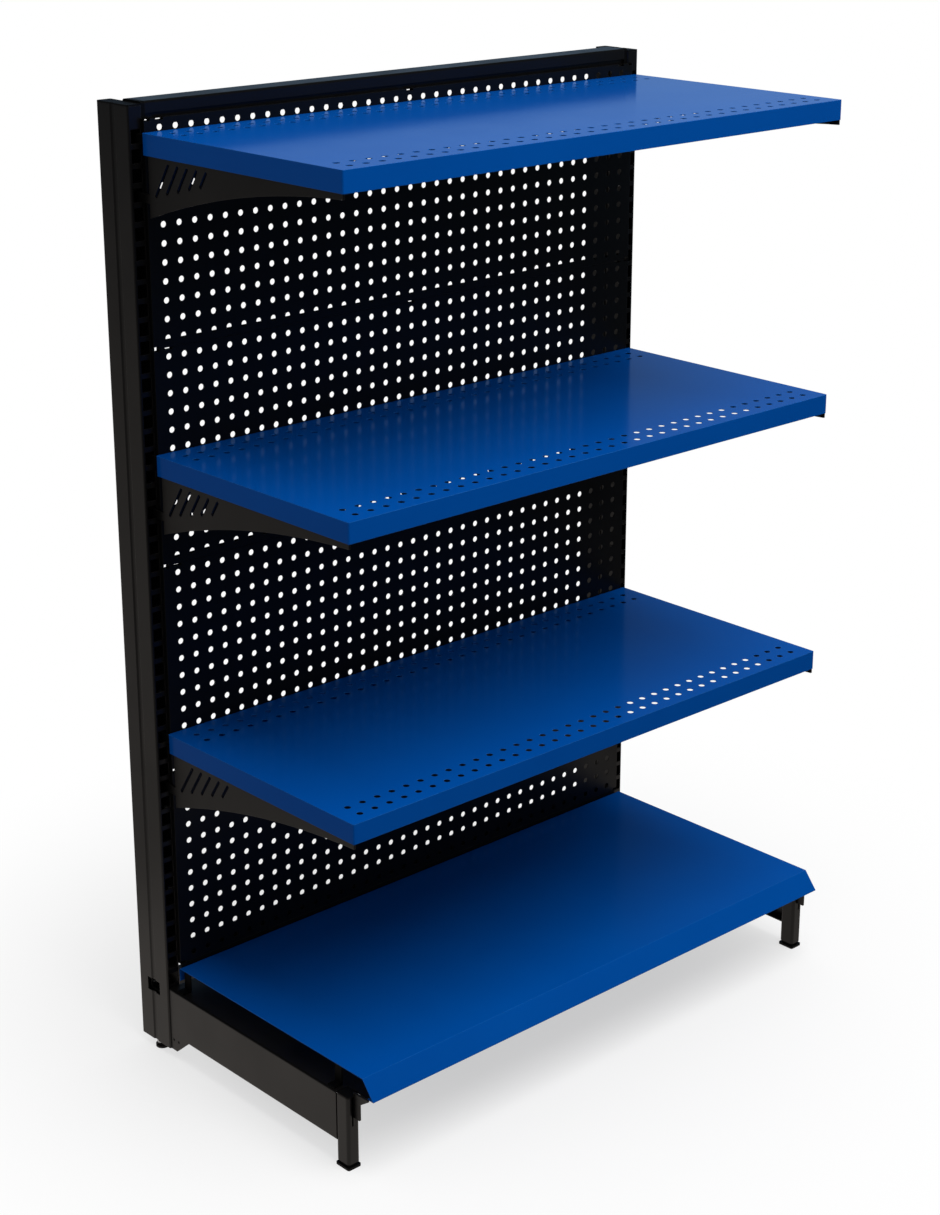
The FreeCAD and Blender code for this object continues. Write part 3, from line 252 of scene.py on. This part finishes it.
# The camera sees paper and white mixed near the part, and white alone from 1.15 m away.
reach = add(ground, "ShaderNodeVectorMath", {"operation": "LENGTH"}, {0: spot})
fade = add(ground, "ShaderNodeMapRange", {"interpolation_type": "SMOOTHSTEP"}, {
    "Value": reach.outputs["Value"],
    "From Min": 0.2, "From Max": 1.15, "To Min": 0.55, "To Max": 1.0})
seen = add(ground, "ShaderNodeMath", {"operation": "MULTIPLY"}, {
    0: fade.outputs["Result"], 1: ground_path.outputs["Is Camera Ray"]})
white = add(ground, "ShaderNodeEmission", {}, {"Color": (1.0, 1.0, 1.0, 1.0), "Strength": 1.0})
shown = add(ground, "ShaderNodeMixShader", {}, {
    0: seen.outputs["Value"], 1: paper_shader.outputs["BSDF"], 2: white.outputs["Emission"]})
# Reflections see an oval glow round the feet, longer along the shelves than across them.
OVAL_STRETCH = (1.0, 1.6, 1.0)
oval = add(ground, "ShaderNodeVectorMath", {"operation": "MULTIPLY"}, {0: spot, 1: OVAL_STRETCH})
span = add(ground, "ShaderNodeVectorMath", {"operation": "LENGTH"}, {0: oval.outputs["Vector"]})
near = add(ground, "ShaderNodeMapRange", {"interpolation_type": "SMOOTHSTEP"}, {
    "Value": span.outputs["Value"],
    "From Min": 0.8, "From Max": 1.7, "To Min": 0.42, "To Max": 0.0})
# They also see the ground grow paler towards the rear left, and most of all behind the part.
REAR_LEFT = (-0.7, 0.7, 0.0)
leftward = add(ground, "ShaderNodeVectorMath", {"operation": "DOT_PRODUCT"}, {
    0: spot, 1: REAR_LEFT})
beside = add(ground, "ShaderNodeMapRange", {}, {
    "Value": leftward.outputs["Value"],
    "From Min": -0.5, "From Max": 1.6, "To Min": 0.02, "To Max": 0.24})
apart = add(ground, "ShaderNodeSeparateXYZ", {}, {0: spot})
rear = add(ground, "ShaderNodeMapRange", {}, {
    "Value": apart.outputs["Y"],
    "From Min": 0.6, "From Max": 1.6, "To Min": 0.0, "To Max": 0.5})
right = add(ground, "ShaderNodeMapRange", {}, {
    "Value": apart.outputs["X"], "From Min": -1.4, "From Max": -0.5})
behind = add(ground, "ShaderNodeMath", {"operation": "MULTIPLY_ADD"}, {
    0: rear.outputs["Result"], 1: right.outputs["Result"], 2: beside.outputs["Result"]})
glow = add(ground, "ShaderNodeMath", {"operation": "ADD"}, {
    0: near.outputs["Result"], 1: behind.outputs["Value"]})
mirrored = add(ground, "ShaderNodeEmission", {}, {
    "Color": linear("#fff6ee"), "Strength": glow.outputs["Value"]})
ground_all = add(ground, "ShaderNodeMixShader", {}, {
    0: ground_path.outputs["Is Glossy Ray"],
    1: shown.outputs["Shader"], 2: mirrored.outputs["Emission"]})
ground.links.new(ground_all.outputs["Shader"], ground.nodes["Material Output"].inputs["Surface"])
floor.data.materials.append(paper)


# The surround: an even white that the camera sees as the background. It lights the part mostly
# from behind and a little from the right, and reflections see it pale only low on the right.
bpy.context.scene.view_settings.view_transform = "Standard"
world = bpy.data.worlds.new("white_studio")
bpy.context.scene.world = world
world.use_nodes = True
sky = world.node_tree
sky_path = add(sky, "ShaderNodeLightPath", {}, {})
sky_way = add(sky, "ShaderNodeTexCoord", {}, {}).outputs["Generated"]
LIGHT_SIDE = (0.5, 0.87, 0.0)
sky_lit = add(sky, "ShaderNodeVectorMath", {"operation": "DOT_PRODUCT"}, {
    0: sky_way, 1: LIGHT_SIDE})
sky_fall = add(sky, "ShaderNodeMapRange", {}, {
    "Value": sky_lit.outputs["Value"],
    "From Min": -0.85, "From Max": 0.9, "To Min": 0.30, "To Max": 1.0})
sky_shown = add(sky, "ShaderNodeMath", {"operation": "MAXIMUM"}, {
    0: sky_path.outputs["Is Camera Ray"], 1: sky_path.outputs["Is Transmission Ray"]})
sky_level = add(sky, "ShaderNodeMapRange", {}, {
    "Value": sky_shown.outputs["Value"], "To Min": sky_fall.outputs["Result"], "To Max": 1.0})
sky_white = sky.nodes["Background"]
sky_white.inputs["Color"].default_value = (1.0, 1.0, 1.0, 1.0)
sky.links.new(sky_level.outputs["Result"], sky_white.inputs["Strength"])
MIRRORED_SIDE = (0.94, 0.34, 0.0)
sky_turn = add(sky, "ShaderNodeVectorMath", {"operation": "DOT_PRODUCT"}, {
    0: sky_way, 1: MIRRORED_SIDE})
sky_back = add(sky, "ShaderNodeMapRange", {}, {
    "Value": sky_turn.outputs["Value"],
    "From Min": 0.4, "From Max": 0.96, "To Min": 0.05, "To Max": 0.6})
sky_rise = add(sky, "ShaderNodeSeparateXYZ", {}, {0: sky_way})
sky_low = add(sky, "ShaderNodeMapRange", {}, {
    "Value": sky_rise.outputs["Z"],
    "From Min": 0.08, "From Max": 0.45, "To Min": 1.0, "To Max": 0.12})
sky_glow = add(sky, "ShaderNodeMath", {"operation": "MULTIPLY"}, {
    0: sky_back.outputs["Result"], 1: sky_low.outputs["Result"]})
sky_image = add(sky, "ShaderNodeBackground", {}, {
    "Color": linear("#b4daff"), "Strength": sky_glow.outputs["Value"]})
sky_all = add(sky, "ShaderNodeMixShader", {}, {
    0: sky_path.outputs["Is Glossy Ray"],
    1: sky_white.outputs["Background"], 2: sky_image.outputs["Background"]})
sky.links.new(sky_all.outputs["Shader"], sky.nodes["World Output"].inputs["Surface"])


# The lamp: one wide softbox, hung high in front of the shelves and tilted towards them. Its own
# shape isn't mirrored in the coats.
SOFTBOX_WIDTH = 2.6
SOFTBOX_TILT = math.radians(21.0)
SOFTBOX_TURN = math.radians(10.0)
softbox_data = bpy.data.lights.new("softbox", "AREA")
softbox_data.shape = "RECTANGLE"
softbox_data.size = SOFTBOX_WIDTH
softbox_data.size_y = SOFTBOX_WIDTH
softbox_data.energy = 110.0
softbox = bpy.data.objects.new("softbox", softbox_data)
bpy.context.scene.collection.objects.link(softbox)
softbox.location = (0.1, -1.5, 3.5)
softbox.rotation_euler = (SOFTBOX_TILT, 0.0, SOFTBOX_TURN)
softbox.visible_glossy = False


# The camera: stands at the photograph's viewpoint, front left and above the top shelf. Its lens,
# place and aim were solved from the rows and columns of the panels' holes.
CAMERA_DIP = 18.569
CAMERA_TURN = 42.641
camera_data = bpy.data.cameras.new("camera")
camera = bpy.data.objects.new("camera", camera_data)
bpy.context.scene.collection.objects.link(camera)
camera_data.lens = 68.76
camera_data.sensor_width = 36.0
camera_data.shift_x = 0.0030
camera_data.shift_y = -0.0419
camera.location = (-2.1548, -2.2824, 1.7562)
camera.rotation_euler = (math.radians(90.0 - CAMERA_DIP), 0.0, math.radians(-CAMERA_TURN))
bpy.context.scene.camera = camera
